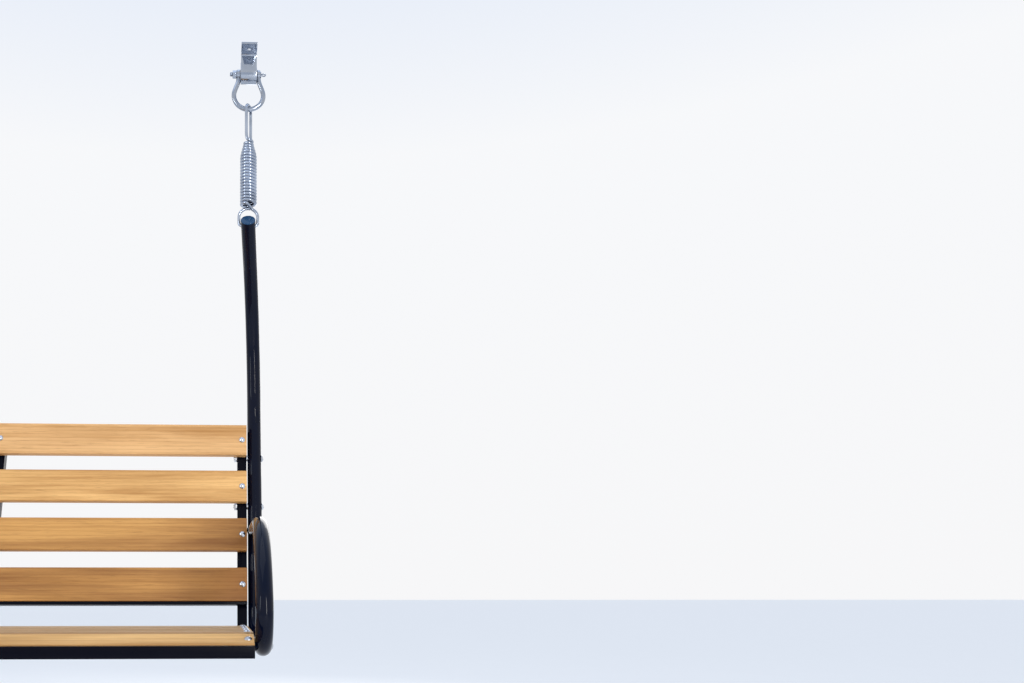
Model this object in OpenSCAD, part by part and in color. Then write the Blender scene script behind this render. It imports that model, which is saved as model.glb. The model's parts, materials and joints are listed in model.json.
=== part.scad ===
// Hanging porch swing: a slatted wooden bench in a bent steel tube frame, hung from
// the ceiling by two shackles and two close-wound extension springs.
// Origin: on the ceiling plane, midway between the two hangers. +X to the right as seen
// from the front, where the parts named right are, +Y to the back, +Z up.

/* [Bench] */
// Length of every slat, end to end
bench_len = 1334; // [1100:2:1600]
// Height of one back or seat slat's broad face
slat_h = 88; // [80:1:92]
// Thickness of a slat
slat_t = 20; // [18:0.5:22]
// Rounding of a slat's long edges
slat_edge_r = 2.5; // [1:0.5:4]
// Distance between the centres of neighbouring back slats, along the back
back_pitch = 133.4; // [124:0.2:136]
// Height of the lowest back slat's centre above the seat, along the back
back_first = 100.2; // [96:0.2:112]
// Recline of the back from vertical, in degrees
recline = 12; // [10:0.5:14]
// Gap between the seat slats
seat_gap = 12; // [8:1:13]
// Downward tilt of the front seat slat, in degrees
front_tilt = 18.7; // [15:0.1:20]
// Outer width of the square tube in the bench frames and rails
square_w = 25; // [24:0.5:26]
// Wall of the square tube
square_wall = 2; // [1.5:0.5:3]

/* [Side frames and arms] */
// Outer diameter of the round frame tube
tube_d = 38.1; // [36:0.1:40]
// Wall of the round frame tube
tube_wall = 2.5; // [2:0.1:3]
// Gap between the bench ends and the side frames
side_gap = 3; // [2:0.5:5]
// Height of the arm's cross hole above the seat
arm_rise = 1030; // [980:5:1080]
// Centreline radius of the arm's long bend
arm_bend_r = 350; // [300:5:360]
// Angle that the arm's long bend turns through, in degrees
arm_bend_angle = 69; // [66:0.5:72]
// Length of the arm's reduced end inside the side frame
arm_insert = 262; // [250:1:275]
// Centreline radius of the arched armrest
armrest_r = 310; // [280:5:360]
// Centreline radius of the side frame's lower bends
frame_bend_r = 75; // [65:1:80]

/* [Hangers] */
// Distance from the swing's middle to each hanger
hang_half = 664; // [655:1:670]
// Height of the ceiling above the shackle pin
pin_drop = 48; // [45:1:60]
// Spacing of the two anchor holes in one hanger
anchor_spacing = 94; // [90:1:110]
// Diameter of an anchor hole
anchor_hole_d = 11; // [8:0.5:13]
// Outer diameter of the bearing barrel
barrel_d = 40; // [38:0.5:42]
// Thickness of the hanger strap
strap_t = 5; // [4:0.5:6]
// Width of the hanger strap
strap_w = 42; // [36:1:43]

/* [Shackles and springs] */
// Diameter of the shackle's rod
rod_d = 12.7; // [11:0.1:13]
// Centreline radius of the shackle's bow
bow_r = 39.3; // [37:0.1:42]
// Drop from the shackle pin to the middle of the bow's rod
bow_drop = 100.3; // [98:0.1:110]
// Diameter of the shackle pin
pin_d = 12; // [10:0.5:12]
// Diameter of the spring wire
wire_d = 8.5; // [7:0.1:8.5]
// Outer diameter of the spring's coil
coil_d = 45; // [42:0.5:48]
// Number of turns in the coil
coil_turns = 21; // [16:1:24]
// Rise of one turn, just over the wire's diameter
coil_pitch = 8.6; // [8.55:0.05:9]
// Length of the top hook's straight legs
hook_leg = 84; // [78:1:92]
// Turn of the top hook's plane about the vertical, in degrees
hook_turn = 28; // [15:1:28]

/* [Hidden] */
$fn = 48;

// Finishes
steel_black = [0.05, 0.05, 0.08];
steel_bright = [0.78, 0.80, 0.84];
wood_light = [0.86, 0.68, 0.44];
wood_dark = [0.66, 0.45, 0.24];

// Heights down the hanging chain
tube_r = tube_d / 2;
wire_r = wire_d / 2;
rod_r = rod_d / 2;
pin_r = pin_d / 2;
pin_z = -pin_drop;
bow_z = pin_z - bow_drop;
hook_bend_r = wire_r + rod_r / cos(hook_turn) + 1.4;
hook_seat_gap = 0.75;
hook_bend_z = bow_z + rod_r + hook_seat_gap + wire_r - hook_bend_r;
coil_top_z = hook_bend_z - hook_leg - 1;
coil_len = coil_turns * coil_pitch + wire_d;
coil_bottom_z = coil_top_z - coil_len;
loop_leg_x = 24.5;
loop_corner_r = 8;
loop_arch_h = 23;
hole_z = coil_bottom_z - 0.6 - wire_r - loop_leg_x - loop_arch_h;
hole_r = 6;
seat_z = hole_z - arm_rise;

// Reclined back line, shared by the posts and the side frames' uprights
bench_half = bench_len / 2;
back_ref_y = 222;
back_ref_h = 447;
function back_y(h) = back_ref_y + (h - back_ref_h) * tan(recline);

// Step where a straight length takes over from its bend
seam_lip = 0.05;

// Side frame
side_x = bench_half + side_gap + tube_r;
base_h = -slat_t - square_w / 2;
joint_h = 545;
arch_center = [-40, -63];
front_bend_h = base_h + frame_bend_r;
bend_r_step = armrest_r - frame_bend_r;
bend_rise = front_bend_h - arch_center[1];
front_bend_y = arch_center[0] - sqrt(pow(bend_r_step, 2) - pow(bend_rise, 2));
arch_end_angle = 180 - atan2(bend_rise, arch_center[0] - front_bend_y);
rear_bend_end_h = front_bend_h - frame_bend_r * sin(recline);
rear_bend_y = back_y(rear_bend_end_h) - frame_bend_r * cos(recline);
upright_len = (joint_h - rear_bend_end_h) / cos(recline);
base_len = rear_bend_y - front_bend_y;

// Hanger arm, in its own plane: reach forward of the socket line, rise along it
arm_dx = side_x - hang_half;
joint_to_hole_h = arm_rise - joint_h;
arm_rise_along = joint_to_hole_h * cos(recline) - back_y(joint_h) * sin(recline);
arm_reach_flat = back_y(joint_h) * cos(recline) + joint_to_hole_h * sin(recline);
arm_reach = sqrt(arm_reach_flat * arm_reach_flat + arm_dx * arm_dx);
arm_toe_in = atan(arm_dx / arm_reach_flat);
arm_last = (arm_reach - arm_bend_r * (1 - cos(arm_bend_angle))) / sin(arm_bend_angle);
arm_first = arm_rise_along - arm_bend_r * sin(arm_bend_angle) - arm_last * cos(arm_bend_angle);
arm_end_margin = 16;
socket_clearance = 0.2;
arm_shoulder = 8;
cap_t = 3;

// Bench frames and seat
frame_xs = [-1, 0, 1] * (bench_half - square_w / 2);
post_top_s = back_first + 3 * back_pitch + slat_h / 2 - 9;
arm_front_y = -292;
slope_len = 74;
slope_plate_t = 5;

// The front rail stands against the front slat's lower edge, its top level with it
rail_y = arm_front_y - slope_len * cos(front_tilt) + slat_t * sin(front_tilt) - square_w / 2 - 1;
rail_z = seat_z - slat_t - slope_len * sin(front_tilt) + slat_t - square_w / 2 + 1;
slope_plate_len = (arm_front_y - rail_y - square_w / 2) / cos(front_tilt);
front_slat_w = slope_plate_len - slat_t * tan(front_tilt) - 1.3;
front_bolt_s = front_slat_w / 2 + 1;

// Fasteners
slat_bolt_r = 4;
slat_bolt_head_d = 17;
slat_bolt_head_h = 5;
slat_nut_h = 7;
slat_nut_af = 13;
hole_play = 0.2;
side_bolt_r = 5;
side_bolt_head_h = 6;
side_nut_h = 8;
side_nut_af = 17;
side_bolt_heights = [312, 447];
side_bolt_base_ys = [-210, 20];

// Hanger and shackle details
ear_gap = 45.4;
ear_t = 8;
ear_r = 13;
ear_x = ear_gap / 2 + ear_t / 2;
ear_bottom = 28;
ear_neck_w = 15;
barrel_len = 44;
bearing_w = 10;
bearing_outer_r = 16;
bearing_ball_r = 2.3;
bearing_ball_orbit = 10.8;
bearing_ball_count = 8;
race_gap = 0.1;
flange_len = 50;
flange_bend_r = 5;
washer_t = 2.5;
shackle_nut_af = 18;
shackle_nut_h = 10;

// Maps a drawing in the XY plane to the YZ plane, extruded along +X
module in_yz() {
  rotate([90, 0, 90]) children();
}

// Cylinder along +X from x0 to x1
module x_rod(x0, x1, r) {
  translate([x0, 0, 0]) rotate([0, 90, 0]) cylinder(h = x1 - x0, r = r);
}

// Part of a ring in the YZ plane, from angle a0 to a1 measured from +Y towards +Z
module yz_arc(center, bend_r, a0, a1, r) {
  in_yz()
    translate([center[0], center[1], 0])
      rotate([0, 0, a0])
        rotate_extrude(angle = a1 - a0)
          translate([bend_r, 0]) circle(r = r);
}

// Straight rod in the YZ plane between two points
module yz_rod(p, q, r) {
  dy = q[0] - p[0];
  dz = q[1] - p[1];
  translate([0, p[0], p[1]])
    rotate([-atan2(dy, dz), 0, 0])
      cylinder(h = norm([dy, dz]), r = r);
}

// Rectangle with rounded corners, centred
module rounded_rect(w, h, r) {
  square([w - 2 * r, h], center = true);
  square([w, h - 2 * r], center = true);
  for (sx = [-1, 1], sy = [-1, 1])
    translate([sx * (w / 2 - r), sy * (h / 2 - r)]) circle(r = r);
}

// Domed bolt head standing on z = 0
module dome_head(d, h) {
  sphere_r = (d * d / 4 + h * h) / (2 * h);
  intersection() {
    translate([0, 0, h - sphere_r]) sphere(r = sphere_r);
    cylinder(h = h, r = d / 2);
  }
}

// Hexagon nut standing on z = 0
module hex_nut(af, h, bore_r) {
  difference() {
    cylinder(h = h, r = af / 2 / cos(30), $fn = 6);
    translate([0, 0, -1]) cylinder(h = h + 2, r = bore_r);
  }
}

// Places a shape at each hand's hang point; the left one is a mirror image
module at_hang(side) {
  mirror([side < 0 ? 1 : 0, 0, 0])
    translate([hang_half, 0, 0]) children();
}

// ---- Ceiling hangers ----

module strap_outline() {
  leg_y = barrel_d / 2;
  outer = leg_y + strap_t;
  difference() {
    union() {
      circle(r = outer);
      translate([-outer, 0]) square([2 * outer, pin_drop]);
      translate([-outer - flange_len, pin_drop - strap_t])
        square([2 * (outer + flange_len), strap_t]);
      for (s = [-1, 1]) mirror([s < 0 ? 1 : 0, 0])
        difference() {
          translate([outer - 0.1, pin_drop - strap_t - flange_bend_r])
            square([flange_bend_r + 0.1, flange_bend_r + 0.1]);
          translate([outer + flange_bend_r, pin_drop - strap_t - flange_bend_r])
            circle(r = flange_bend_r);
        }
    }
    circle(r = leg_y);
    translate([-leg_y, 0]) square([2 * leg_y, pin_drop + 1]);
  }
}

module hanger_strap(side) {
  color(steel_bright)
    at_hang(side)
      difference() {
        translate([-strap_w / 2, 0, pin_z])
          in_yz() linear_extrude(strap_w) strap_outline();
        for (s = [-1, 1])
          translate([0, s * anchor_spacing / 2, -strap_t - 1])
            cylinder(h = strap_t + 2, r = anchor_hole_d / 2);
      }
}

module hanger_barrel(side) {
  color(steel_bright)
    at_hang(side)
      translate([0, 0, pin_z])
        difference() {
          x_rod(-barrel_len / 2, barrel_len / 2, barrel_d / 2);
          x_rod(-barrel_len / 2 - 1, barrel_len / 2 + 1, bearing_outer_r);
        }
}

// Draws a child once in each of the barrel's two bearing seats
module at_bearings(side) {
  at_hang(side)
    translate([0, 0, pin_z])
      for (s = [-1, 1])
        translate([s * (barrel_len - bearing_w) / 2, 0, 0]) children();
}

module ring_x(outer_r, inner_r, w) {
  difference() {
    x_rod(-w / 2, w / 2, outer_r);
    x_rod(-w / 2 - 1, w / 2 + 1, inner_r);
  }
}

module bearing_outer_rings(side) {
  color(steel_bright)
    at_bearings(side)
      ring_x(bearing_outer_r, bearing_ball_orbit + bearing_ball_r + race_gap, bearing_w);
}

module bearing_balls(side) {
  color(steel_bright)
    at_bearings(side) {
      for (i = [0 : bearing_ball_count - 1])
        rotate([i * 360 / bearing_ball_count, 0, 0])
          translate([0, bearing_ball_orbit, 0]) sphere(r = bearing_ball_r);
      ring_x(bearing_ball_orbit + 0.5, bearing_ball_orbit - 0.5, 2);
    }
}

module bearing_inner_rings(side) {
  color(steel_bright)
    at_bearings(side)
      ring_x(bearing_ball_orbit - bearing_ball_r - race_gap, pin_r, bearing_w);
}

module bearing_spacer(side) {
  color(steel_bright)
    at_hang(side)
      translate([0, 0, pin_z])
        ring_x(pin_r + 2, pin_r, barrel_len - 2 * bearing_w);
}

// ---- Shackles ----

module shackle_bow(side) {
  bow_center = bow_r - bow_drop;
  aim = [ear_x + 2, -8 - bow_center];
  aim_len = norm(aim);
  leg_angle = atan2(aim[1], aim[0]) - acos(bow_r / aim_len);
  leg_len = sqrt(aim_len * aim_len - bow_r * bow_r) - 14;
  color(steel_bright)
    at_hang(side)
      translate([0, 0, pin_z])
        difference() {
          union() {
            translate([0, 0, bow_center])
              rotate([90, 0, 0])
                rotate([0, 0, 180 - leg_angle])
                  rotate_extrude(angle = 180 + 2 * leg_angle)
                    translate([bow_r, 0]) circle(r = rod_r);
            for (s = [-1, 1]) mirror([s < 0 ? 1 : 0, 0, 0]) {
              translate([0, 0, bow_center])
                rotate([0, -leg_angle, 0])
                  translate([bow_r, 0, -1]) cylinder(h = leg_len + 1, r = rod_r + seam_lip);
              x_rod(ear_x - ear_t / 2, ear_x + ear_t / 2, ear_r);
              translate([ear_x - ear_t / 2, -ear_neck_w / 2, -ear_bottom])
                cube([ear_t, ear_neck_w, ear_bottom]);
            }
          }
          x_rod(-ear_x - ear_t, ear_x + ear_t, pin_r + race_gap);
        }
}

module shackle_pin(side) {
  shoulder_x = ear_x + ear_t / 2;
  eye_x = shoulder_x + 9.5;
  color(steel_bright)
    at_hang(side)
      translate([0, 0, pin_z]) {
        x_rod(-ear_x - ear_t / 2 - washer_t - shackle_nut_h - 7, shoulder_x + 0.1, pin_r);
        x_rod(shoulder_x, shoulder_x + 3, 9);
        difference() {
          union() {
            translate([eye_x, 0, -3]) cylinder(h = 6, r = 7);
            x_rod(shoulder_x + 2.9, eye_x - 4, 3);
          }
          translate([eye_x, 0, -4]) cylinder(h = 8, r = 3.5);
        }
      }
}

module shackle_nut(side) {
  color(steel_bright)
    at_hang(side)
      translate([-ear_x - ear_t / 2, 0, pin_z])
        rotate([0, -90, 0]) {
          difference() {
            cylinder(h = washer_t, r = 11.5);
            translate([0, 0, -1]) cylinder(h = washer_t + 2, r = pin_r);
          }
          translate([0, 0, washer_t]) hex_nut(shackle_nut_af, shackle_nut_h, pin_r);
        }
}

// ---- Springs ----

module spring_hook(side) {
  color(steel_bright)
    translate([side * hang_half, 0, 0])
      rotate([0, 0, -hook_turn]) {
        yz_arc([0, hook_bend_z], hook_bend_r, 0, 180, wire_r);
        for (end = [[-1, hook_leg], [1, hook_leg - 6]])
          translate([0, end[0] * hook_bend_r, hook_bend_z - end[1]])
            cylinder(h = end[1], r = wire_r);
      }
}

// Centreline of the coil after t turns from the bottom: it narrows towards the top
coil_r = (coil_d - wire_d) / 2;
coil_top_r = 9.5;
taper_turns = 6;
wire_sides = 6;
turn_steps = 12;
function taper(t) = t < coil_turns - taper_turns ? 0 : (t - coil_turns + taper_turns) / taper_turns;
function coil_radius(t) = coil_r - (coil_r - coil_top_r) * (1 - cos(180 * taper(t))) / 2;
function coil_point(t, k) =
  let (turn = 360 * t, side_angle = 360 * k / wire_sides,
       r = coil_radius(t) + wire_r * cos(side_angle))
  [r * cos(turn), r * sin(turn), wire_r + coil_pitch * t + wire_r * sin(side_angle)];

module spring_coil(side) {
  rings = coil_turns * turn_steps;
  points = [for (i = [0 : rings]) for (k = [0 : wire_sides - 1])
    coil_point(i / turn_steps, k)];
  walls = [for (i = [0 : rings - 1]) for (k = [0 : wire_sides - 1])
    let (a = i * wire_sides + k, b = i * wire_sides + (k + 1) % wire_sides)
    each [[a, a + wire_sides, b], [b, a + wire_sides, b + wire_sides]]];
  start = [for (k = [0 : wire_sides - 1]) k];
  finish = [for (k = [wire_sides - 1 : -1 : 0]) rings * wire_sides + k];
  color(steel_bright)
    translate([side * hang_half, 0, coil_bottom_z])
      rotate([0, 0, 120])
        polyhedron(points = points, faces = concat(walls, [start, finish]));
}

module spring_loop(side) {
  corner_x = loop_leg_x - loop_corner_r;
  color(steel_bright)
    translate([side * hang_half, 0, hole_z]) {
      translate([0, 0, loop_arch_h])
        rotate([90, 0, 0]) rotate_extrude(angle = 180)
          translate([loop_leg_x, 0]) circle(r = wire_r);
      for (s = [-1, 1]) {
        translate([s * loop_leg_x, 0, loop_corner_r])
          cylinder(h = loop_arch_h - loop_corner_r, r = wire_r);
        mirror([s < 0 ? 1 : 0, 0, 0])
          translate([corner_x, 0, loop_corner_r])
            rotate([90, 0, 0]) rotate([0, 0, -90]) rotate_extrude(angle = 90)
              translate([loop_corner_r, 0]) circle(r = wire_r);
      }
      x_rod(-corner_x, corner_x, wire_r);
    }
}

// ---- Side frames and hanger arms ----

// Holes along X for the bolts that join arm, side frame and bench frame
module side_bolt_holes(r, x0, x1) {
  for (h = side_bolt_heights)
    translate([0, back_y(h), seat_z + h]) x_rod(x0, x1, r);
  for (y = side_bolt_base_ys)
    translate([0, y, seat_z + base_h]) x_rod(x0, x1, r);
}

// Places the arm's own plane on the side frame's upright, toed in to the hang point
module in_arm_plane() {
  translate([side_x, back_y(joint_h), seat_z + joint_h])
    rotate([-recline, 0, 0])
      rotate([0, 0, -arm_toe_in]) children();
}

// The arm above its joint: a straight, one long bend, and a straight to the end
module arm_path(r, from, beyond) {
  translate([0, 0, from]) cylinder(h = arm_first - from, r = r);
  yz_arc([-arm_bend_r, arm_first], arm_bend_r, 0, arm_bend_angle, r);
  translate([0, -arm_bend_r, arm_first])
    rotate([arm_bend_angle, 0, 0])
      translate([0, arm_bend_r, -2])
        cylinder(h = arm_last + beyond + 2, r = r + seam_lip);
}

module hanger_arm_body() {
  insert_r = tube_r - tube_wall - socket_clearance;
  difference() {
    in_arm_plane() difference() {
      union() {
        arm_path(tube_r, 0, arm_end_margin);
        translate([0, 0, -arm_insert]) cylinder(h = arm_insert + 2, r = insert_r);
      }
      arm_path(tube_r - tube_wall, arm_shoulder, arm_end_margin + 1);
      translate([0, 0, -arm_insert - 1])
        cylinder(h = arm_insert + arm_shoulder + 2, r = insert_r - tube_wall);
    }
    side_bolt_holes(side_bolt_r + hole_play, side_x - tube_d, side_x + tube_d);
    translate([hang_half, 0, hole_z]) x_rod(-tube_d, tube_d, hole_r);
  }
}

module arm_cap_body() {
  in_arm_plane()
    translate([0, -arm_bend_r, arm_first])
      rotate([arm_bend_angle, 0, 0])
        translate([0, arm_bend_r, arm_last + arm_end_margin]) {
          cylinder(h = cap_t - 1, r = tube_r);
          translate([0, 0, cap_t - 1]) cylinder(h = 1, r1 = tube_r, r2 = tube_r - 1);
          translate([0, 0, -6]) cylinder(h = 6, r = tube_r - tube_wall);
        }
}

// A straight length up Z, then a bend towards -Y
module straight_and_bend(len, angle, r, from) {
  translate([0, 0, from]) cylinder(h = len - from, r = r);
  yz_arc([-frame_bend_r, len], frame_bend_r, 0, angle, r);
}

// Places the side frame's run: it starts at the joint and heads down the upright
module from_joint_down() {
  translate([side_x, back_y(joint_h), seat_z + joint_h])
    rotate([180 - recline, 0, 0]) mirror([0, 1, 0]) children();
}

module side_upright_body() {
  difference() {
    from_joint_down() difference() {
      straight_and_bend(upright_len, 90 - recline, tube_r, 0);
      straight_and_bend(upright_len, 90 - recline, tube_r - tube_wall, -2);
    }
    side_bolt_holes(side_bolt_r + hole_play, side_x - tube_d, side_x + tube_d);
  }
}

module side_base_body() {
  difference() {
    from_joint_down()
      translate([0, -frame_bend_r, upright_len]) rotate([90 - recline, 0, 0])
        translate([0, frame_bend_r, 0]) difference() {
          straight_and_bend(base_len, 270 - arch_end_angle, tube_r, 0);
          straight_and_bend(base_len, 270 - arch_end_angle, tube_r - tube_wall, -1);
        }
    side_bolt_holes(side_bolt_r + hole_play, side_x - tube_d, side_x + tube_d);
  }
}

// The armrest: an arch from the front bend's end, then level back to the upright
module armrest_path(r, beyond) {
  yz_arc(arch_center, armrest_r, 90, arch_end_angle + beyond, r);
  yz_rod([arch_center[0], arch_center[1] + armrest_r],
    [back_y(arch_center[1] + armrest_r), arch_center[1] + armrest_r], r);
}

// Its rear end is coped to the upright
module armrest_body() {
  translate([side_x, 0, seat_z]) difference() {
    armrest_path(tube_r, 0);
    armrest_path(tube_r - tube_wall, 1);
    yz_rod([back_y(100), 100], [back_y(400), 400], tube_r);
  }
}

module side_bolts_body() {
  side_bolt_holes(side_bolt_r, bench_half - square_w - side_nut_h - 2, side_x + tube_r + 0.5);
  head_x = side_x + tube_r;
  for (h = side_bolt_heights)
    translate([head_x, back_y(h), seat_z + h])
      rotate([0, 90, 0]) dome_head(20, side_bolt_head_h);
  for (y = side_bolt_base_ys)
    translate([head_x, y, seat_z + base_h])
      rotate([0, 90, 0]) dome_head(20, side_bolt_head_h);
}

module at_side_bolts(x) {
  for (h = side_bolt_heights)
    translate([x, back_y(h), seat_z + h]) children();
  for (y = side_bolt_base_ys)
    translate([x, y, seat_z + base_h]) children();
}

module side_nuts_body() {
  at_side_bolts(bench_half - square_w)
    rotate([0, -90, 0]) hex_nut(side_nut_af, side_nut_h, side_bolt_r);
}

module side_spacers_body() {
  at_side_bolts(bench_half)
    rotate([0, 90, 0]) difference() {
      cylinder(h = side_gap, r = 9);
      translate([0, 0, -1]) cylinder(h = side_gap + 2, r = side_bolt_r);
    }
}

// Draws a right-hand piece, or its mirror image for the left hand
module handed(side) {
  mirror([side < 0 ? 1 : 0, 0, 0]) children();
}

module hanger_arm(side) { color(steel_black) handed(side) hanger_arm_body(); }
module arm_cap(side) { color(steel_black) handed(side) arm_cap_body(); }
module side_upright(side) { color(steel_black) handed(side) side_upright_body(); }
module side_base(side) { color(steel_black) handed(side) side_base_body(); }
module armrest(side) { color(steel_black) handed(side) armrest_body(); }
module side_bolts(side) { color(steel_bright) handed(side) side_bolts_body(); }
module side_nuts(side) { color(steel_bright) handed(side) side_nuts_body(); }
module side_spacers(side) { color(steel_bright) handed(side) side_spacers_body(); }

// ---- Bench ----

// Frame on the front of the posts: Z runs up the back, Y out of its rear face
module on_back(s) {
  translate([0, back_y(0), seat_z])
    rotate([-recline, 0, 0])
      translate([0, -square_w / 2, s]) children();
}

// Frame on top of the sloping plate that carries the front slat; -Y runs down it
module on_slope() {
  translate([0, arm_front_y, seat_z - slat_t])
    rotate([front_tilt, 0, 0]) children();
}

// Side view of a bench frame, shrunk by the wall for its hollow
module bench_frame_outline(wall) {
  half = square_w / 2 - wall;
  post_bottom = base_h / cos(recline);
  translate([back_y(0), 0]) rotate([0, 0, -recline])
    translate([-half, post_bottom - half]) square([2 * half, post_top_s - post_bottom - wall + half]);
  translate([arm_front_y + wall, base_h - half])
    square([back_y(base_h) - arm_front_y - wall, 2 * half]);
}

module slope_plate_outline() {
  translate([arm_front_y, -slat_t]) rotate([0, 0, front_tilt])
    translate([-slope_plate_len, -slope_plate_t]) square([slope_plate_len + 2, slope_plate_t]);
}

module slat_bolt_holes(r) {
  for (i = [0 : 3])
    on_back(back_first + i * back_pitch)
      rotate([-90, 0, 0]) translate([0, 0, -slat_t - 1]) cylinder(h = slat_t + square_w + 2, r = r);
  for (i = [0 : 3])
    translate([0, seat_slat_y(i), seat_z - slat_t - square_w - 1])
      cylinder(h = slat_t + square_w + 2, r = r);
  on_slope() translate([0, -front_bolt_s, -slope_plate_t - 1])
    cylinder(h = slope_plate_t + slat_t + 2, r = r);
}

function seat_slat_y(i) = arm_front_y + seat_gap + slat_h / 2 + i * (slat_h + seat_gap);

module bench_frame(x, drilled) {
  color(steel_black)
    difference() {
      translate([x, 0, seat_z]) {
        difference() {
          translate([-square_w / 2, 0, 0])
            in_yz() linear_extrude(square_w) bench_frame_outline(0);
          translate([-square_w / 2 + square_wall, 0, 0])
            in_yz() linear_extrude(square_w - 2 * square_wall) bench_frame_outline(square_wall);
        }
        translate([-square_w / 2, 0, 0])
          in_yz() linear_extrude(square_w) slope_plate_outline();
      }
      translate([x, 0, 0]) slat_bolt_holes(slat_bolt_r + hole_play);
      if (drilled != 0)
        handed(drilled)
          side_bolt_holes(side_bolt_r + hole_play, bench_half - square_w - 1, bench_half + 1);
    }
}

// Closed square tube along X, centred at [y, z]
module x_box_tube(y, z) {
  translate([0, y, z])
    difference() {
      cube([bench_len, square_w, square_w], center = true);
      cube([bench_len - 2 * square_wall, square_w - 2 * square_wall, square_w - 2 * square_wall],
        center = true);
    }
}

module front_rail() {
  color(steel_black) x_box_tube(rail_y, rail_z);
}

module rear_rail() {
  color(steel_black) x_box_tube(back_y(0) - 40, seat_z - slat_t - 1.5 * square_w);
}

module lower_back_rail() {
  rail_h = 8;
  color(steel_black)
    on_back(back_first - slat_h / 2 - 0.5 - rail_h / 2)
      translate([0, -slat_t / 2, 0]) cube([bench_len, slat_t, rail_h], center = true);
}

module slat_body(width) {
  translate([-bench_half, 0, 0])
    in_yz() linear_extrude(bench_len) rounded_rect(slat_t, width, slat_edge_r);
}

module back_slat(i) {
  color(i > 1 ? wood_light : wood_dark)
    difference() {
      on_back(back_first + i * back_pitch) translate([0, -slat_t / 2, 0]) slat_body(slat_h);
      for (x = frame_xs) translate([x, 0, 0]) slat_bolt_holes(slat_bolt_r + hole_play);
    }
}

module seat_slat(i) {
  color(wood_light)
    difference() {
      translate([0, seat_slat_y(i), seat_z - slat_t / 2]) rotate([90, 0, 0]) slat_body(slat_h);
      for (x = frame_xs) translate([x, 0, 0]) slat_bolt_holes(slat_bolt_r + hole_play);
    }
}

module front_slat() {
  color(wood_light)
    difference() {
      on_slope() translate([0, -front_slat_w / 2 - 1, slat_t / 2])
        rotate([90, 0, 0]) slat_body(front_slat_w);
      for (x = frame_xs) translate([x, 0, 0]) slat_bolt_holes(slat_bolt_r + hole_play);
    }
}

// Slat bolt with its head on z = 0 and its shank running down
module slat_bolt(grip) {
  dome_head(slat_bolt_head_d, slat_bolt_head_h);
  translate([0, 0, -grip - slat_nut_h - 2]) cylinder(h = grip + slat_nut_h + 2.1, r = slat_bolt_r);
}

// Draws the first child at every bolt's head, or every nut's seat, across the back
module at_back_bolts(depth) {
  for (x = frame_xs, i = [0 : 3])
    translate([x, 0, 0]) on_back(back_first + i * back_pitch)
      translate([0, depth, 0]) rotate([90, 0, 0]) children();
}

module back_slat_bolts() {
  color(steel_bright) at_back_bolts(-slat_t) slat_bolt(slat_t + square_w);
}

module back_slat_nuts() {
  color(steel_bright)
    at_back_bolts(square_w) mirror([0, 0, 1]) hex_nut(slat_nut_af, slat_nut_h, slat_bolt_r);
}

module seat_slat_bolts() {
  color(steel_bright)
    for (x = frame_xs) translate([x, 0, 0]) {
      for (i = [0 : 3])
        translate([0, seat_slat_y(i), seat_z]) slat_bolt(slat_t + square_w);
      on_slope() translate([0, -front_bolt_s, slat_t]) slat_bolt(slat_t + slope_plate_t);
    }
}

module seat_slat_nuts() {
  color(steel_bright)
    for (x = frame_xs) translate([x, 0, 0]) {
      for (i = [0 : 3])
        translate([0, seat_slat_y(i), seat_z - slat_t - square_w])
          mirror([0, 0, 1]) hex_nut(slat_nut_af, slat_nut_h, slat_bolt_r);
      on_slope() translate([0, -front_bolt_s, -slope_plate_t])
        mirror([0, 0, 1]) hex_nut(slat_nut_af, slat_nut_h, slat_bolt_r);
    }
}

hanger_strap(1);  // hanger_strap_right
hanger_strap(-1);  // hanger_strap_left
hanger_barrel(1);  // hanger_barrel_right
hanger_barrel(-1);  // hanger_barrel_left
bearing_outer_rings(1);  // bearing_outer_rings_right
bearing_outer_rings(-1);  // bearing_outer_rings_left
bearing_balls(1);  // bearing_balls_right
bearing_balls(-1);  // bearing_balls_left
bearing_inner_rings(1);  // bearing_inner_rings_right
bearing_inner_rings(-1);  // bearing_inner_rings_left
bearing_spacer(1);  // bearing_spacer_right
bearing_spacer(-1);  // bearing_spacer_left
shackle_bow(1);  // shackle_bow_right
shackle_bow(-1);  // shackle_bow_left
shackle_pin(1);  // shackle_pin_right
shackle_pin(-1);  // shackle_pin_left
shackle_nut(1);  // shackle_nut_right
shackle_nut(-1);  // shackle_nut_left
spring_hook(1);  // spring_hook_right
spring_hook(-1);  // spring_hook_left
spring_coil(1);  // spring_coil_right
spring_coil(-1);  // spring_coil_left
spring_loop(1);  // spring_loop_right
spring_loop(-1);  // spring_loop_left
hanger_arm(1);  // hanger_arm_right
hanger_arm(-1);  // hanger_arm_left
arm_cap(1);  // arm_cap_right
arm_cap(-1);  // arm_cap_left
side_upright(1);  // side_upright_right
side_upright(-1);  // side_upright_left
side_base(1);  // side_base_right
side_base(-1);  // side_base_left
armrest(1);  // armrest_right
armrest(-1);  // armrest_left
side_bolts(1);  // side_bolts_right
side_bolts(-1);  // side_bolts_left
side_nuts(1);  // side_nuts_right
side_nuts(-1);  // side_nuts_left
side_spacers(1);  // side_spacers_right
side_spacers(-1);  // side_spacers_left
bench_frame(frame_xs[2], 1);  // bench_frame_right
bench_frame(frame_xs[1], 0);  // bench_frame_center
bench_frame(frame_xs[0], -1);  // bench_frame_left
front_rail();
rear_rail();
lower_back_rail();
back_slat(3);  // back_slat_1
back_slat(2);  // back_slat_2
back_slat(1);  // back_slat_3
back_slat(0);  // back_slat_4
front_slat();  // seat_slat_1
seat_slat(0);  // seat_slat_2
seat_slat(1);  // seat_slat_3
seat_slat(2);  // seat_slat_4
seat_slat(3);  // seat_slat_5
back_slat_bolts();
back_slat_nuts();
seat_slat_bolts();
seat_slat_nuts();
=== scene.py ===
import json
import math

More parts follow.
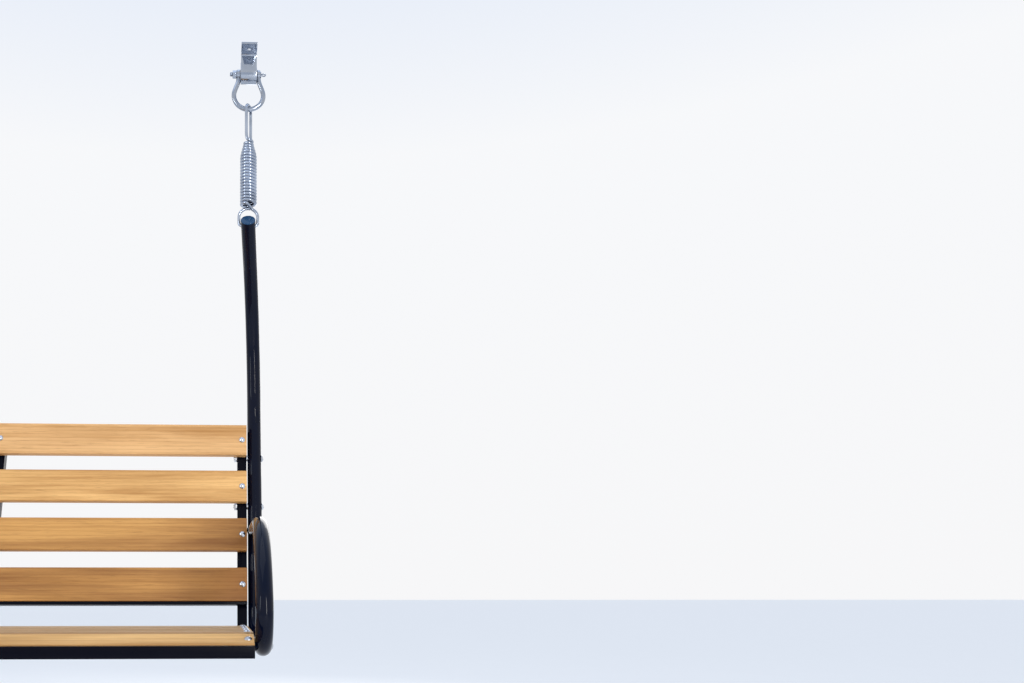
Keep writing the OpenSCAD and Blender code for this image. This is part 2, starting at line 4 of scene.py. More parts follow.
import bmesh
import bpy
import numpy as np
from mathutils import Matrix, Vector

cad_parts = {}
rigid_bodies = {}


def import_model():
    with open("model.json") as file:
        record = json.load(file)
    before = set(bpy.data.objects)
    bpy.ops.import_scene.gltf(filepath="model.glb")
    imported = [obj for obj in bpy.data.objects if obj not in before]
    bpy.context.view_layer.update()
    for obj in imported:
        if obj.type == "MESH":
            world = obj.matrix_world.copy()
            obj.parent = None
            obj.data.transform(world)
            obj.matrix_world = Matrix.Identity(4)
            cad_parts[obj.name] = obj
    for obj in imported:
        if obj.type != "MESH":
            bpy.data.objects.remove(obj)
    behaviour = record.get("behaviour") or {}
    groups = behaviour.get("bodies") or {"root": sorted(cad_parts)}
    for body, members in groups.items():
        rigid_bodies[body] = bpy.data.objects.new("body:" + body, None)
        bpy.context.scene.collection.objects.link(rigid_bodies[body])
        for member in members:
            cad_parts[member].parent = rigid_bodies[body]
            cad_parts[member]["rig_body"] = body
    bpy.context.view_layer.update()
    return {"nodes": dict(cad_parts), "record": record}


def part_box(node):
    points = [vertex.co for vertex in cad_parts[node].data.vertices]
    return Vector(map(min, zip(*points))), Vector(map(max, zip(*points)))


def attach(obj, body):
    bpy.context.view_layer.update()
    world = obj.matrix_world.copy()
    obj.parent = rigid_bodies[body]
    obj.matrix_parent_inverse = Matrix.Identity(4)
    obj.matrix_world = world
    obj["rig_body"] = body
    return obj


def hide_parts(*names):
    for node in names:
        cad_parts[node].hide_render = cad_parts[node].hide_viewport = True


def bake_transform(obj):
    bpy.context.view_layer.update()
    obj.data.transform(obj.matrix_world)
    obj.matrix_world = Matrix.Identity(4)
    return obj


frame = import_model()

SIDES = (("right", 1.0), ("left", -1.0))


# ---- Where things are, read from the frame, in metres ----

def center(node):
    low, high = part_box(node)
    return (Vector(low) + Vector(high)) / 2


def extent(node):
    low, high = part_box(node)
    return Vector(high) - Vector(low)


HANG_X = center("hanger_barrel_right").x
PIN_Z = center("hanger_barrel_right").z
BOW_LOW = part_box("shackle_bow_right")[0][2]
SEAT_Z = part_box("seat_slat_5")[1][2]
WIRE_R = extent("spring_loop_right").y / 2
TUBE_R = extent("armrest_right").x / 2
SIDE_X = center("armrest_right").x
RECLINE = math.radians(12)


# ---- Materials ----

class Nodes:
    """A material's node tree with short calls to add and link nodes."""

    def __init__(self, name):
        self.material = bpy.data.materials.new(name)
        self.material.use_nodes = True
        self.tree = self.material.node_tree
        self.shader = next(n for n in self.tree.nodes if n.type == "BSDF_PRINCIPLED")
        self.coords = self.add("ShaderNodeTexCoord").outputs["Object"]

    def add(self, kind, **values):
        node = self.tree.nodes.new(kind)
        for key, value in values.items():
            if key in node.inputs:
                node.inputs[key].default_value = value
            else:
                setattr(node, key, value)
        return node

    def link(self, a, b):
        self.tree.links.new(a, b)

    def mapped(self, scale=(1, 1, 1), shift=(0, 0, 0), turn=(0, 0, 0)):
        node = self.add("ShaderNodeMapping", Scale=scale, Location=shift, Rotation=turn)
        self.link(self.coords, node.inputs["Vector"])
        return node.outputs["Vector"]

    def noise(self, vector, scale, detail=4.0, rough=0.55, warp=0.0):
        node = self.add("ShaderNodeTexNoise", Scale=scale, Detail=detail, Roughness=rough,
                        Distortion=warp)
        self.link(vector, node.inputs["Vector"])
        return node.outputs["Fac"]

    def ramp(self, factor, *stops):
        node = self.add("ShaderNodeValToRGB")
        while len(node.color_ramp.elements) < len(stops):
            node.color_ramp.elements.new(0.5)
        for element, (at, color) in zip(node.color_ramp.elements, stops):
            element.position = at
            element.color = (*color, 1.0)
        self.link(factor, node.inputs["Fac"])
        return node.outputs["Color"]

    def mix(self, kind, factor, a, b):
        node = self.add("ShaderNodeMix", data_type="RGBA", blend_type=kind)
        for socket, value in ((node.inputs[0], factor), (node.inputs[6], a),
                              (node.inputs[7], b)):
            if hasattr(value, "is_linked"):
                self.link(value, socket)
            elif socket.type == "RGBA":
                socket.default_value = (*value, 1.0)
            else:
                socket.default_value = value
        return node.outputs[2]

    def spread(self, value, low, high, start=0.0, end=1.0):
        node = self.add("ShaderNodeMapRange")
        for key, number in (("From Min", start), ("From Max", end), ("To Min", low),
                            ("To Max", high)):
            node.inputs[key].default_value = number
        self.link(value, node.inputs["Value"])
        return node.outputs["Result"]

    def bump(self, height, strength, distance):
        node = self.add("ShaderNodeBump", Strength=strength, Distance=distance)
        self.link(height, node.inputs["Height"])
        self.link(node.outputs["Normal"], self.shader.inputs["Normal"])

    def set(self, **values):
        for key, value in values.items():
            socket = self.shader.inputs[key.replace("_", " ")]
            if hasattr(value, "is_linked"):
                self.link(value, socket)
            else:
                socket.default_value = value


# How much each wood pattern repeats in a metre: slowly along the slat, finely across it.
STREAK_SCALE = (1.3, 26.0, 26.0)
RING_SCALE = (0.55, 11.0, 15.0)
PORE_SCALE = (22.0, 900.0, 900.0)
PATCH_SCALE = (2.4, 5.0, 5.0)
# Back slats 3 and 4 grow darker towards their right-hand ends, over this span of X and towards
# this tint.
DARKEN_FROM, DARKEN_TO = 0.42, 0.66   # along X
END_DARK_TINT = (0.48, 0.36, 0.25)
WHITE, BLACK = (1.0, 1.0, 1.0), (0.0, 0.0, 0.0)


def grain_rings(m, seed, turn):
    """Pale brown lines where the slat's face cuts the growth rings."""
    rings = m.add("ShaderNodeTexWave", wave_type="RINGS", rings_direction="X", Scale=2.2,
                  Distortion=3.5, Detail=3.0)
    rings.inputs["Detail Scale"].default_value = 1.2
    drift = (0.1 * seed, 1.7 + 0.31 * seed, 0.9)
    m.link(m.mapped(RING_SCALE, drift, (turn, 0, 0)), rings.inputs["Vector"])
    return m.ramp(rings.outputs["Fac"], (0.0, (0.80, 0.74, 0.66)), (0.35, WHITE))


def darkened_towards_end(m, color, strength):
    """The colour, darkened towards the slat's right-hand end."""
    split = m.add("ShaderNodeSeparateXYZ")
    m.link(m.coords, split.inputs[0])
    fade = m.spread(split.outputs["X"], 0.0, strength, DARKEN_FROM, DARKEN_TO)
    return m.mix("MULTIPLY", fade, color, END_DARK_TINT)


def wood(name, pale, dark, seed, turn=0.0, end_dark=0.0):
    """Oiled hardwood with its grain along X: streaks, growth rings, pores and warm patches."""
    m = Nodes(name)
    drift = (0.37 * seed, 0.11 * seed, 0.23 * seed)
    streaks = m.noise(m.mapped(STREAK_SCALE, drift, (turn, 0, 0)), 1.0, 5.0, 0.6, 0.5)
    pores = m.noise(m.mapped(PORE_SCALE, drift, (turn, 0, 0)), 1.0, 2.0, 0.5)
    patches = m.noise(m.mapped(PATCH_SCALE, drift), 1.0, 2.0, 0.5)
    middle = tuple((a + b) / 2 for a, b in zip(pale, dark))
    deep = tuple(c * 0.62 for c in dark)
    color = m.ramp(streaks, (0.34, dark), (0.47, middle), (0.60, pale))
    color = m.mix("MULTIPLY", 0.55, color, grain_rings(m, seed, turn))
    color = m.mix("MIX", m.spread(pores, 0.0, 0.55, 0.60, 0.72), color, deep)
    warm = m.ramp(patches, (0.35, (0.90, 0.86, 0.80)), (0.65, (1.05, 1.03, 1.0)))
    color = m.mix("MULTIPLY", 0.8, color, warm)
    if end_dark:
        color = darkened_towards_end(m, color, end_dark)
    m.set(Base_Color=color, Roughness=m.spread(streaks, 0.58, 0.44))
    m.shader.inputs["Specular IOR Level"].default_value = 0.25
    m.bump(m.mix("MIX", 0.5, m.ramp(pores, (0.3, WHITE), (0.7, BLACK)),
                 m.ramp(streaks, (0.2, BLACK), (0.8, WHITE))), 0.35, 0.0006)
    return m.material


def paint(name, color, rough, coat):
    """Stove enamel: faint orange peel, and a little dust that dulls it in patches."""
    m = Nodes(name)
    dusty = (0.012, 0.014, 0.020)
    peel = m.noise(m.mapped(), 260.0, 2.0, 0.5)
    dust = m.noise(m.mapped(), 9.0, 6.0, 0.62)
    m.set(Base_Color=m.mix("MIX", m.spread(dust, 0.0, 0.10, 0.52, 0.80), color, dusty),
          Roughness=m.spread(dust, rough, rough + 0.10, 0.35, 0.75))
    m.shader.inputs["Specular IOR Level"].default_value = 0.05
    m.shader.inputs["Coat Weight"].default_value = coat
    m.shader.inputs["Coat IOR"].default_value = 1.36
    m.shader.inputs["Coat Roughness"].default_value = 0.06
    m.bump(peel, 0.05, 0.0003)
    return m.material


def metal(name, color, rough, grime):
    """Plated steel: fine polishing marks, dulled patches and a trace of grime."""
    m = Nodes(name)
    fine = m.noise(m.mapped(), 420.0, 3.0, 0.6)
    patches = m.noise(m.mapped(), 16.0, 4.0, 0.55)
    tint = m.ramp(patches, (0.30, tuple(c * (1 - grime) for c in color)), (0.62, color))
    m.set(Base_Color=tint, Metallic=1.0,
          Roughness=m.spread(patches, rough + 0.14, rough, 0.30, 0.66))
    m.bump(fine, 0.03, 0.0001)
    return m.material


LIGHT_HONEY, LIGHT_AMBER = (0.760, 0.455, 0.205), (0.500, 0.255, 0.085)
HONEY, AMBER = (0.800, 0.480, 0.190), (0.480, 0.235, 0.070)
BROWN, UMBER = (0.640, 0.345, 0.110), (0.360, 0.165, 0.048)
DEEP_BROWN, DEEP_UMBER = (0.580, 0.300, 0.092), (0.290, 0.125, 0.036)
STRAW, TAN = (0.760, 0.470, 0.190), (0.520, 0.280, 0.095)
SAND, CLAY = (0.590, 0.400, 0.215), (0.440, 0.280, 0.150)
woods = {
    "back_slat_1": wood("teak_honey_1", LIGHT_HONEY, LIGHT_AMBER, 1, RECLINE),
    "back_slat_2": wood("teak_honey_2", HONEY, AMBER, 2, RECLINE),
    "back_slat_3": wood("teak_brown_3", BROWN, UMBER, 3, RECLINE, 0.75),
    "back_slat_4": wood("teak_brown_4", DEEP_BROWN, DEEP_UMBER, 4, RECLINE, 0.85),
    "seat_slat_1": wood("teak_seat_front", STRAW, TAN, 5),
}
for number in (2, 3, 4, 5):
    woods[f"seat_slat_{number}"] = wood(f"teak_seat_{number}", SAND, CLAY, 5 + number)
GLOSS = paint("black_gloss_tube", (0.0013, 0.0030, 0.0120), 0.08, 0.35)
SATIN = paint("black_satin_square", (0.0016, 0.0020, 0.0060), 0.24, 0.05)
# The cool blue tint and the low brightness of these two plated-steel colours are partly painted
# reflection of a blue sky and dark surroundings, laid over the steel's own grey.
CHROME = metal("spring_chrome", (0.44, 0.49, 0.58), 0.08, 0.35)
ZINC = metal("hanger_chrome", (0.38, 0.42, 0.49), 0.07, 0.22)
BEARING = metal("bearing_steel", (0.50, 0.51, 0.55), 0.20, 0.25)
BOLTS = metal("bolt_steel", (0.66, 0.68, 0.72), 0.20, 0.35)
# The arm caps' dark blue is a painted reflection of the sky on the tops of the arms. It is
# lighter and bluer than the black tube paint.
CAP_PAINTED_REFLECTION = paint("arm_cap_painted_sky_reflection", (0.016, 0.055, 0.125), 0.12, 0.40)
SLOT_LOOKS = {
    "black_gloss_tube": GLOSS, "black_square_tube": SATIN, "spring_chrome": CHROME,
    "hanger_chrome": ZINC, "bearing_steel": BEARING, "bolt_steel": BOLTS,
}
slot_of = {p["node"]: p["material_slot"] for p in frame["record"]["subparts"]}


def look_of(node):
    """The material of a CAD node, and of a piece that stands for it."""
    # The caps take the dark blue painted sky reflection.
    if node.startswith("arm_cap"):
        return CAP_PAINTED_REFLECTION
    return woods.get(node) or SLOT_LOOKS[slot_of[node]]


# ---- Shapes: each gives its vertices and faces ----

def around(x, r, share):
    """The point at distance r from the X axis, at a share of a turn about it."""
    a = 2 * math.pi * share
    return (x, r * math.cos(a), r * math.sin(a))


def wall(rings, sides, closed=False):
    """Faces between rings of vertices that follow each other, and back to the first if closed."""
    faces = []
    for i in range(rings if closed else rings - 1):
        a, b = i * sides, ((i + 1) % rings) * sides
        for k in range(sides):
            n = (k + 1) % sides
            faces.append((a + k, a + n, b + n, b + k))
    return faces


def capped(rings, sides):
    """The wall's faces and a cap at each end."""
    last = (rings - 1) * sides
    return wall(rings, sides) + [tuple(range(sides)), tuple(range(last, last + sides))]


def sweep(path, radius, sides=20, closed=False):
    """A round bar along a path. Its radius is one number, or one for each point."""
    path = np.asarray(path, float)
    count = len(path)
    if closed:
        tangents = np.roll(path, -1, 0) - np.roll(path, 1, 0)
    else:
        tangents = np.gradient(path, axis=0)
    tangents /= np.linalg.norm(tangents, axis=1)[:, None]
    radius = np.broadcast_to(np.asarray(radius, float), (count,))
    along_x = abs(tangents[0][0]) >= 0.9
    normal = np.cross(tangents[0], (0.0, 1.0, 0.0) if along_x else (1.0, 0.0, 0.0))
    turn = np.linspace(0, 2 * math.pi, sides, endpoint=False)
    verts = []
    for point, tangent, r in zip(path, tangents, radius):
        normal = normal - tangent * normal.dot(tangent)
        normal /= np.linalg.norm(normal)
        side = np.cross(tangent, normal)
        verts.extend(point + r * (np.outer(np.cos(turn), normal) + np.outer(np.sin(turn), side)))
    return verts, wall(count, sides, closed=True) if closed else capped(count, sides)


def lathe(profile, sides=48):
    """A solid turned about X, from pairs of distance along X and radius."""
    verts = [around(x, r, k / sides) for x, r in profile for k in range(sides)]
    return verts, capped(len(profile), sides)


def washer(outer, inner, thick, chamfer, sides=48):
    """A ring about X with chamfered edges."""
    h = thick / 2
    profile = ((-h, inner + chamfer), (-h, outer - chamfer), (-h + chamfer, outer),
               (h - chamfer, outer), (h, outer - chamfer), (h, inner + chamfer),
               (h - chamfer, inner), (-h + chamfer, inner))
    verts = [around(x, r, k / sides) for x, r in profile for k in range(sides)]
    return verts, wall(len(profile), sides, closed=True)


def threaded(length, radius, pitch, depth, sides=32, rings_per_turn=8):
    """A threaded rod along X: its crest runs round as a true helix, and its far end tapers."""
    taper_length, taper_slope = 0.0012, 0.8
    rings = int(length / pitch * rings_per_turn)
    verts = []
    for i in range(rings + 1):
        x = length * i / rings
        taper = max(0.0, x - length + taper_length) * taper_slope
        for k in range(sides):
            groove = depth * abs(2 * ((x / pitch + k / sides) % 1.0) - 1)
            verts.append(around(x, radius - groove - taper, k / sides))
    return verts, capped(rings + 1, sides)


def hex_nut(across, height, bore, chamfer, sides=72, rings=12):
    """A hexagon nut along X with its corners turned down at both faces, and a chamfered bore."""
    face_share, corner_slope = 0.985, 1.9
    flat = across / 2
    verts = []
    for i in range(rings + 1):
        x = height * i / rings
        turned_down = flat * face_share + min(x, height - x) * corner_slope
        for k in range(sides):
            off_flat = (2 * math.pi * k / sides) % (math.pi / 3) - math.pi / 6
            verts.append(around(x, min(flat / math.cos(off_flat), turned_down), k / sides))
    inside = ((height, bore + chamfer), (height - chamfer, bore), (chamfer, bore),
              (0.0, bore + chamfer))
    verts += [around(x, r, k / sides) for x, r in inside for k in range(sides)]
    return verts, wall(rings + 1 + len(inside), sides, closed=True)


def moved(shape, by, mirror=1.0):
    """A shape shifted, with its X mirrored first if mirror is -1."""
    verts, faces = shape
    return [(by[0] + mirror * v[0], by[1] + v[1], by[2] + v[2]) for v in verts], faces


def joined(shapes):
    """Several shapes as one."""
    all_verts, all_faces = [], []
    for verts, faces in shapes:
        base = len(all_verts)
        all_verts += list(verts)
        all_faces += [tuple(base + i for i in face) for face in faces]
    return all_verts, all_faces


def arc(middle, r, start, end, steps):
    """Points on an arc in a plane, angles in degrees."""
    angles = np.radians(np.linspace(start, end, steps))
    return [(middle[0] + r * math.cos(a), middle[1] + r * math.sin(a)) for a in angles]


# ---- Pieces ----

def one_finish(mesh, node):
    """The whole mesh takes the node's material."""
    mesh.materials.clear()
    mesh.materials.append(look_of(node))
    for polygon in mesh.polygons:
        polygon.material_index = 0


def new_piece(name, shape, node):
    """An object of the shape, with the finish and the material slot of a CAD node."""
    verts, faces = shape
    mesh = bpy.data.meshes.new(name)
    mesh.from_pydata([tuple(v) for v in verts], [], faces)
    mesh.validate()
    obj = bpy.data.objects.new(name, mesh)
    bpy.context.scene.collection.objects.link(obj)
    work = bmesh.new()
    work.from_mesh(mesh)
    bmesh.ops.recalc_face_normals(work, faces=work.faces)
    work.to_mesh(mesh)
    work.free()
    mesh.materials.append(look_of(node))
    mesh.shade_smooth()
    mesh.set_sharp_from_angle(angle=math.radians(42))
    return obj


def softened(node, width):
    """A welded copy of a CAD node with smooth shading and bevelled edges, in its place."""
    weld_gap = 2e-6
    flat_within, sharp_from, shade_from = (math.radians(a) for a in (0.6, 35.0, 30.0))
    source = frame["nodes"][node]
    mesh = bpy.data.meshes.new(node + "_soft")
    work = bmesh.new()
    work.from_mesh(source.data)
    bmesh.ops.remove_doubles(work, verts=work.verts, dist=weld_gap)
    bmesh.ops.dissolve_limit(work, angle_limit=flat_within, verts=work.verts, edges=work.edges)
    sharp = [e for e in work.edges
             if len(e.link_faces) == 2 and e.calc_face_angle(0.0) > sharp_from]
    if width and sharp:
        bmesh.ops.bevel(work, geom=sharp, offset=width, offset_type="OFFSET", segments=2,
                        profile=0.6, affect="EDGES", clamp_overlap=True)
    work.to_mesh(mesh)
    work.free()
    obj = bpy.data.objects.new(node + "_soft", mesh)
    bpy.context.scene.collection.objects.link(obj)
    one_finish(mesh, node)
    mesh.shade_smooth()
    mesh.set_sharp_from_angle(angle=shade_from)
    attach(obj, source["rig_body"])
    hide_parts(node)


for name, obj in frame["nodes"].items():
    one_finish(obj.data, name)

# ---- Springs: one wire from the open top hook down to the bottom ring ----

TURNS, TAPER_TURNS, STEPS_A_TURN = 21, 6, 40
COIL_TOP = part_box("spring_coil_right")[1][2]
COIL_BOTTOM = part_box("spring_coil_right")[0][2]
COIL_R = extent("spring_coil_right").x / 2 - WIRE_R
COIL_TOP_R = 0.0095
RING_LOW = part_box("spring_loop_right")[0][2] + WIRE_R
RING_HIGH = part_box("spring_loop_right")[1][2] - WIRE_R
RING_R = extent("spring_loop_right").x / 2 - WIRE_R
RING_CORNER = 0.008
HOOK_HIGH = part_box("spring_hook_right")[1][2] - WIRE_R
HOOK_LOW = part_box("spring_hook_right")[0][2]
HOOK_R = 0.01284
HOOK_TURN = math.radians(28)
TIP_LIFT, STEM_LIFT = 0.006, 0.004   # where the hook's two legs end above its box
WIRE_FIT = 0.985                     # keeps the bent wire inside the CAD wire's box


def hook_path():
    """From the hook's free tip over its bend and down its stem."""
    bend_z = HOOK_HIGH - HOOK_R
    points = [(HOOK_R, z) for z in np.linspace(HOOK_LOW + TIP_LIFT, bend_z, 12)]
    points += arc((0, bend_z), HOOK_R, 0, 180, 20)[1:]
    points += [(-HOOK_R, z) for z in np.linspace(bend_z, HOOK_LOW + STEM_LIFT, 14)[1:]]
    return [(r * math.sin(HOOK_TURN), r * math.cos(HOOK_TURN), z) for r, z in points]


def coil_path(first_angle):
    """Down the coil, which is narrow at its top, starting out at the hook's radius."""
    low, high = COIL_BOTTOM + WIRE_R, COIL_TOP - WIRE_R
    path = []
    for i in range(TURNS * STEPS_A_TURN + 1):
        down = i / STEPS_A_TURN
        share = min(max((TAPER_TURNS - down) / TAPER_TURNS, 0.0), 1.0)
        radius = COIL_R - (COIL_R - COIL_TOP_R) * (1 - math.cos(math.pi * share)) / 2
        if down < 0.5:
            radius += (HOOK_R - radius) * (1 - down / 0.5) ** 2
        a = first_angle + 2 * math.pi * down
        z = low + (TURNS - down) * (high - low) / TURNS
        path.append((radius * math.cos(a), radius * math.sin(a), z))
    return path


def ring_path():
    """Round the bottom ring: an arched top, straight sides and rounded bottom corners."""
    arch = (0, RING_HIGH - RING_R)
    inner, corner_z = RING_R - RING_CORNER, RING_LOW + RING_CORNER
    path = arc(arch, RING_R, 60, 0, 16)
    path += [(RING_R, z) for z in np.linspace(arch[1], corner_z, 6)[1:]]
    path += arc((inner, corner_z), RING_CORNER, 0, -90, 8)[1:]
    path += [(x, RING_LOW) for x in np.linspace(inner, -inner, 10)[1:]]
    path += arc((-inner, corner_z), RING_CORNER, -90, -180, 8)[1:]
    path += [(-RING_R, z) for z in np.linspace(corner_z, arch[1], 6)[1:]]
    path += arc(arch, RING_R, 180, 75, 24)[1:]
    return [(x, 0.0, z) for x, z in path]


def bridge(before, after):
    """A smooth run of wire from the end of one path to the start of another."""
    a, b = np.array(before[-1]), np.array(after[0])
    leaving = a - np.array(before[-2])
    leaving /= np.linalg.norm(leaving)
    arriving = np.array(after[1]) - b
    arriving /= np.linalg.norm(arriving)
    reach = np.linalg.norm(b - a) * 0.9
    path = []
    for s in np.linspace(0, 1, 14)[1:-1]:
        to_b = 3 * s ** 2 - 2 * s ** 3
        path.append(tuple(a * (1 - to_b) + b * to_b
                          + reach * leaving * (s ** 3 - 2 * s ** 2 + s)
                          + reach * arriving * (s ** 3 - s ** 2)))
    return path


def smooth(points, rounds=6):
    """The points, each drawn towards its neighbours a few times."""
    for _ in range(rounds):
        points[1:-1] = (points[:-2] + 2 * points[1:-1] + points[2:]) / 4
    return points


def wire_path():
    """The whole spring's centreline about its own axis, eased where the stem meets the coil."""
    hook, ring = hook_path(), ring_path()
    coil = coil_path(math.atan2(hook[-1][1], hook[-1][0]))
    path = np.array(hook + coil + bridge(coil, ring) + ring)
    bend = slice(len(hook) - 8, len(hook) + 14)
    path[bend] = smooth(path[bend].copy())
    return path


for side, sign in SIDES:
    path = wire_path()
    path[:, 0] = sign * (path[:, 0] + HANG_X)
    wire = new_piece(f"spring_wire_{side}", sweep(path, WIRE_R * WIRE_FIT, 14),
                     f"spring_coil_{side}")
    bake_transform(wire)
    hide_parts(f"spring_hook_{side}", f"spring_coil_{side}", f"spring_loop_{side}")

# ---- Shackles: bow with its legs drawn in to the eyes, threaded pin, nut and washer ----

ROD_R = 0.00635
BOW_R = extent("shackle_bow_right").x / 2 - ROD_R
EYE_R, EYE_THICK, EYE_X = 0.0128, 0.0078, 0.0267
EYE_CHAMFER = 0.0012
LEG_TOP = -0.012                      # the legs start this far below the pin
PIN_R = 0.006
RUNNING_GAP = 0.0001
SHOULDER = EYE_X + 0.004              # the outer face of an eye, and a hair more
COLLAR_R, COLLAR_THICK, COLLAR_CHAMFER = 0.009, 0.003, 0.0006
STEM_R, STEM_TIP_R, STEM_FROM, STEM_TO = 0.0034, 0.0032, 0.0034, 0.0052
PULL_RING_R, PULL_RING_WIRE, PULL_RING_OUT = 0.00525, 0.00172, 0.0095
THREAD_LENGTH, THREAD_PITCH, THREAD_DEPTH = 0.0195, 0.00175, 0.0008
NUT_ACROSS, NUT_HEIGHT, NUT_CHAMFER, NUT_OUT = 0.018, 0.010, 0.0008, 0.0025
WASHER_R, WASHER_THICK, WASHER_CHAMFER, WASHER_OUT = 0.0115, 0.0024, 0.0004, 0.00125


def bow_path():
    """Centreline from one eye down its leg, round the bow and up to the other eye."""
    mid = BOW_LOW + ROD_R - PIN_Z + BOW_R
    leg = []
    for s in np.linspace(0, 1, 16):
        ease = s * s * (3 - 2 * s)
        leg.append((EYE_X + (BOW_R - EYE_X) * ease, LEG_TOP + (mid - LEG_TOP) * s))
    round_bow = arc((0, mid), BOW_R, 0, -180, 48)[1:]
    other_leg = [(-x, z) for x, z in reversed(leg[:-1])]
    return [(x, 0.0, z) for x, z in leg + round_bow + other_leg]


def bow_shape():
    eye = washer(EYE_R, PIN_R + RUNNING_GAP, EYE_THICK, EYE_CHAMFER)
    return joined([sweep(bow_path(), ROD_R, 24)]
                  + [moved(eye, (x, 0, 0)) for x in (-EYE_X, EYE_X)])


def pin_shape():
    """The pin with its collar, the pull ring on its head, and the thread at its other end."""
    edge_r = COLLAR_R - COLLAR_CHAMFER
    steps = ((0.0, PIN_R), (0.0, edge_r), (COLLAR_CHAMFER, COLLAR_R),
             (COLLAR_THICK - COLLAR_CHAMFER, COLLAR_R), (COLLAR_THICK, edge_r),
             (STEM_FROM, STEM_R), (STEM_TO, STEM_TIP_R))
    rod = lathe([(-SHOULDER, PIN_R)] + [(SHOULDER + out, r) for out, r in steps])
    loop = [(SHOULDER + PULL_RING_OUT + PULL_RING_R * math.cos(a), PULL_RING_R * math.sin(a), 0.0)
            for a in np.linspace(0, 2 * math.pi, 40, endpoint=False)]
    thread = threaded(THREAD_LENGTH, PIN_R - RUNNING_GAP, THREAD_PITCH, THREAD_DEPTH)
    return joined([rod, sweep(loop, PULL_RING_WIRE, 16, closed=True),
                   moved(thread, (-SHOULDER, 0, 0), -1.0)])


def nut_shape():
    nut = hex_nut(NUT_ACROSS, NUT_HEIGHT, PIN_R, NUT_CHAMFER)
    under = washer(WASHER_R, PIN_R, WASHER_THICK, WASHER_CHAMFER)
    return joined([moved(nut, (-SHOULDER - NUT_OUT, 0, 0), -1.0),
                   moved(under, (-SHOULDER - WASHER_OUT, 0, 0))])


for side, sign in SIDES:
    for name, shape, node in (("shackle_bow_round", bow_shape(), "shackle_bow"),
                              ("shackle_pin_threaded", pin_shape(), "shackle_pin"),
                              ("shackle_nut_chamfered", nut_shape(), "shackle_nut")):
        placed = moved(shape, (sign * HANG_X, 0.0, PIN_Z), sign)
        piece = new_piece(f"{name}_{side}", placed, f"{node}_{side}")
        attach(piece, f"shackle_{side}")
        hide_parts(f"{node}_{side}")

# ---- CAD shapes with their edges eased ----

WOOD_EDGE, SQUARE_TUBE_EDGE = 0.0008, 0.0012

for side, _ in SIDES:
    for node, width in (("hanger_strap", 0.0008), ("hanger_barrel", 0.0010),
                        ("hanger_arm", 0.0), ("arm_cap", 0.0005), ("side_upright", 0.0),
                        ("side_base", 0.0), ("armrest", 0.0), ("side_bolts", 0.0),
                        ("side_nuts", 0.0004), ("bench_frame", SQUARE_TUBE_EDGE)):
        softened(f"{node}_{side}", width)
for node in ("bench_frame_center", "front_rail", "rear_rail", "lower_back_rail"):
    softened(node, SQUARE_TUBE_EDGE)
for number in range(1, 5):
    softened(f"back_slat_{number}", WOOD_EDGE)
for number in range(1, 6):
    softened(f"seat_slat_{number}", WOOD_EDGE)
for node in ("back_slat_bolts", "seat_slat_bolts"):
    softened(node, 0.0)

# ---- Weld beads where the armrests meet the uprights ----

REST_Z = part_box("armrest_right")[1][2] - TUBE_R
UPRIGHT_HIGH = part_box("side_upright_right")[1]
BEAD_R, BEAD_OUT = 0.0021, 0.0004
BEAD_FIT, BEAD_SINK = 0.985, 0.98     # hold the bead just inside the tubes' own outlines


def upright_y(z):
    """The middle of the reclined upright at a height."""
    top = UPRIGHT_HIGH[1] - TUBE_R * math.cos(RECLINE)
    return top - (UPRIGHT_HIGH[2] - TUBE_R * math.sin(RECLINE) - z) * math.tan(RECLINE)


def seam(sign):
    """The line round the armrest's end on the upright's front."""
    path = []
    for a in np.linspace(0, 2 * math.pi, 120, endpoint=False):
        x = (TUBE_R + BEAD_OUT) * math.cos(a)
        z = REST_Z + (TUBE_R + BEAD_OUT) * math.sin(a)
        front = math.sqrt(max(TUBE_R ** 2 - x ** 2 * BEAD_SINK, 0.0)) / math.cos(RECLINE)
        path.append((sign * (SIDE_X + x * BEAD_FIT), upright_y(z) - front, z))
    return path


def bead(path):
    """A weld bead round a closed path, rippled as a hand-laid one is."""
    steps = np.arange(len(path))
    ripple = 1 + 0.16 * np.sin(steps * 2.1) + 0.05 * np.sin(steps * 0.37)
    return sweep(path, BEAD_R * ripple, 8, closed=True)


for side, sign in SIDES:
    weld = new_piece(f"armrest_weld_{side}", bead(seam(sign)), f"armrest_{side}")
    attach(weld, "bench")

# ---- Stage: pale floor, sky that turns a little blue overhead, lights, camera ----

FLOOR_Z = SEAT_Z - 0.46
FLOOR_REACH = 60.0
FLOOR_COLOR = (0.985, 0.975, 0.945)
HORIZON, HAZE, ZENITH = (0.93, 0.93, 0.94), (0.93, 0.94, 0.96), (0.58, 0.70, 0.92)


def pale_floor():
    m = Nodes("pale_floor")
    grain = m.noise(m.mapped(), 3.0, 3.0)
    shade = tuple(c * 0.985 for c in FLOOR_COLOR)
    m.set(Base_Color=m.mix("MIX", grain, FLOOR_COLOR, shade), Roughness=0.85)
    mesh = bpy.data.meshes.new("floor")
    corners = [(x * FLOOR_REACH, y * FLOOR_REACH, FLOOR_Z)
               for x, y in ((-1, -1), (1, -1), (1, 1), (-1, 1))]
    mesh.from_pydata(corners, [], [(0, 1, 2, 3)])
    mesh.materials.append(m.material)
    floor = bpy.data.objects.new("floor", mesh)
    bpy.context.scene.collection.objects.link(floor)


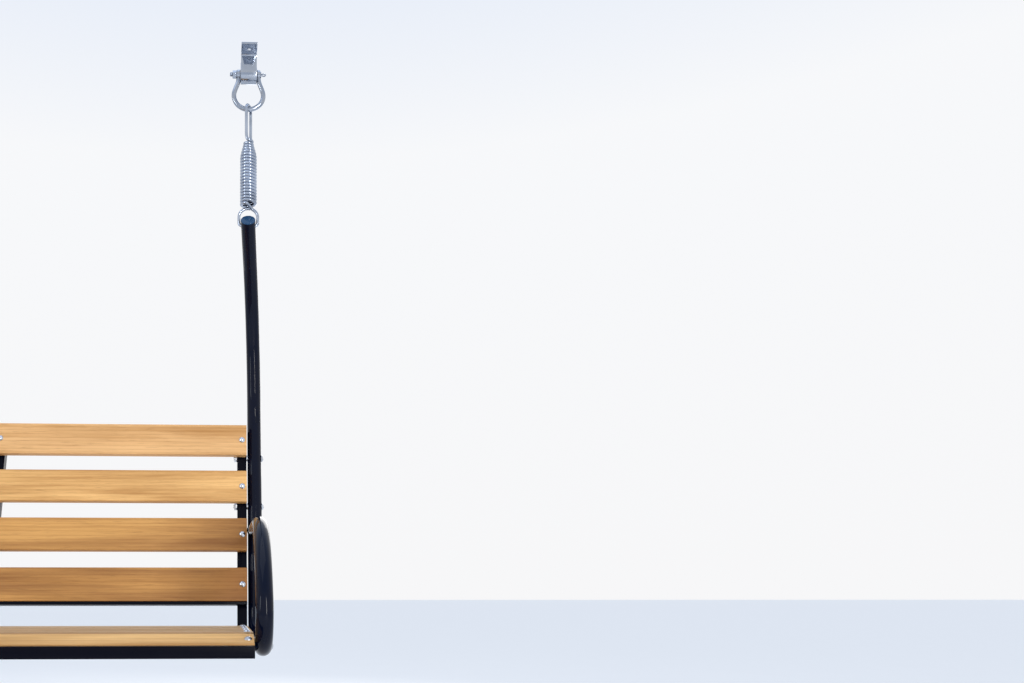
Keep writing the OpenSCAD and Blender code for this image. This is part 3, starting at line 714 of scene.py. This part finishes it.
def pale_sky():
    world = bpy.data.worlds.new("studio")
    bpy.context.scene.world = world
    world.use_nodes = True
    tree = world.node_tree
    where = tree.nodes.new("ShaderNodeTexCoord")
    split = tree.nodes.new("ShaderNodeSeparateXYZ")
    ramp = tree.nodes.new("ShaderNodeValToRGB")
    tree.links.new(where.outputs["Generated"], split.inputs[0])
    tree.links.new(split.outputs["Z"], ramp.inputs["Fac"])
    tree.links.new(ramp.outputs["Color"], tree.nodes["Background"].inputs["Color"])
    ramp.color_ramp.elements.new(0.5)
    for element, (at, color) in zip(ramp.color_ramp.elements,
                                    ((0.0, HORIZON), (0.45, HAZE), (0.85, ZENITH))):
        element.position = at
        element.color = (*color, 1.0)
    tree.nodes["Background"].inputs["Strength"].default_value = 1.0


def soft_light(name, place, target, size, power, color):
    """A rectangular light at a place, turned to face its target."""
    data = bpy.data.lights.new(name, "AREA")
    data.shape = "RECTANGLE"
    data.size, data.size_y = size
    data.energy = power
    data.color = color
    lamp = bpy.data.objects.new(name, data)
    lamp.location = place
    aim = Vector(target) - Vector(place)
    lamp.rotation_euler = aim.to_track_quat("-Z", "Y").to_euler()
    bpy.context.scene.collection.objects.link(lamp)


pale_floor()
pale_sky()
MIDDLE = (0.0, 0.0, SEAT_Z + 0.5)
soft_light("key", (1.9, -3.2, SEAT_Z + 1.0), (0.5, 0.0, SEAT_Z + 0.6), (0.16, 2.4), 40,
           (1.0, 0.97, 0.93))
soft_light("fill", (-2.8, -2.2, SEAT_Z + 1.4), MIDDLE, (0.30, 2.2), 26, (0.90, 0.95, 1.0))
soft_light("top", (0.2, -0.3, 1.6), MIDDLE, (2.6, 2.0), 12, (0.86, 0.92, 1.0))
soft_light("back", (1.4, 3.2, SEAT_Z + 1.6), MIDDLE, (1.6, 1.6), 14, (1.0, 0.98, 0.96))

EYE_PLACE = (0.590, -2.250, SEAT_Z + 0.085)
EYE_PITCH, EYE_YAW = math.radians(9.2), math.radians(-2.6)

bpy.context.scene.view_settings.view_transform = "Standard"
camera_data = bpy.data.cameras.new("camera")
camera_data.lens = 31.9
camera_data.sensor_width = 36.0
camera_data.shift_x = 0.247
camera_data.shift_y = 0.101
camera_data.clip_end = 200.0
camera = bpy.data.objects.new("camera", camera_data)
camera.location = EYE_PLACE
camera.rotation_euler = (math.radians(90) + EYE_PITCH, 0.0, EYE_YAW)
bpy.context.scene.collection.objects.link(camera)
bpy.context.scene.camera = camera

bpy.context.view_layer.update()
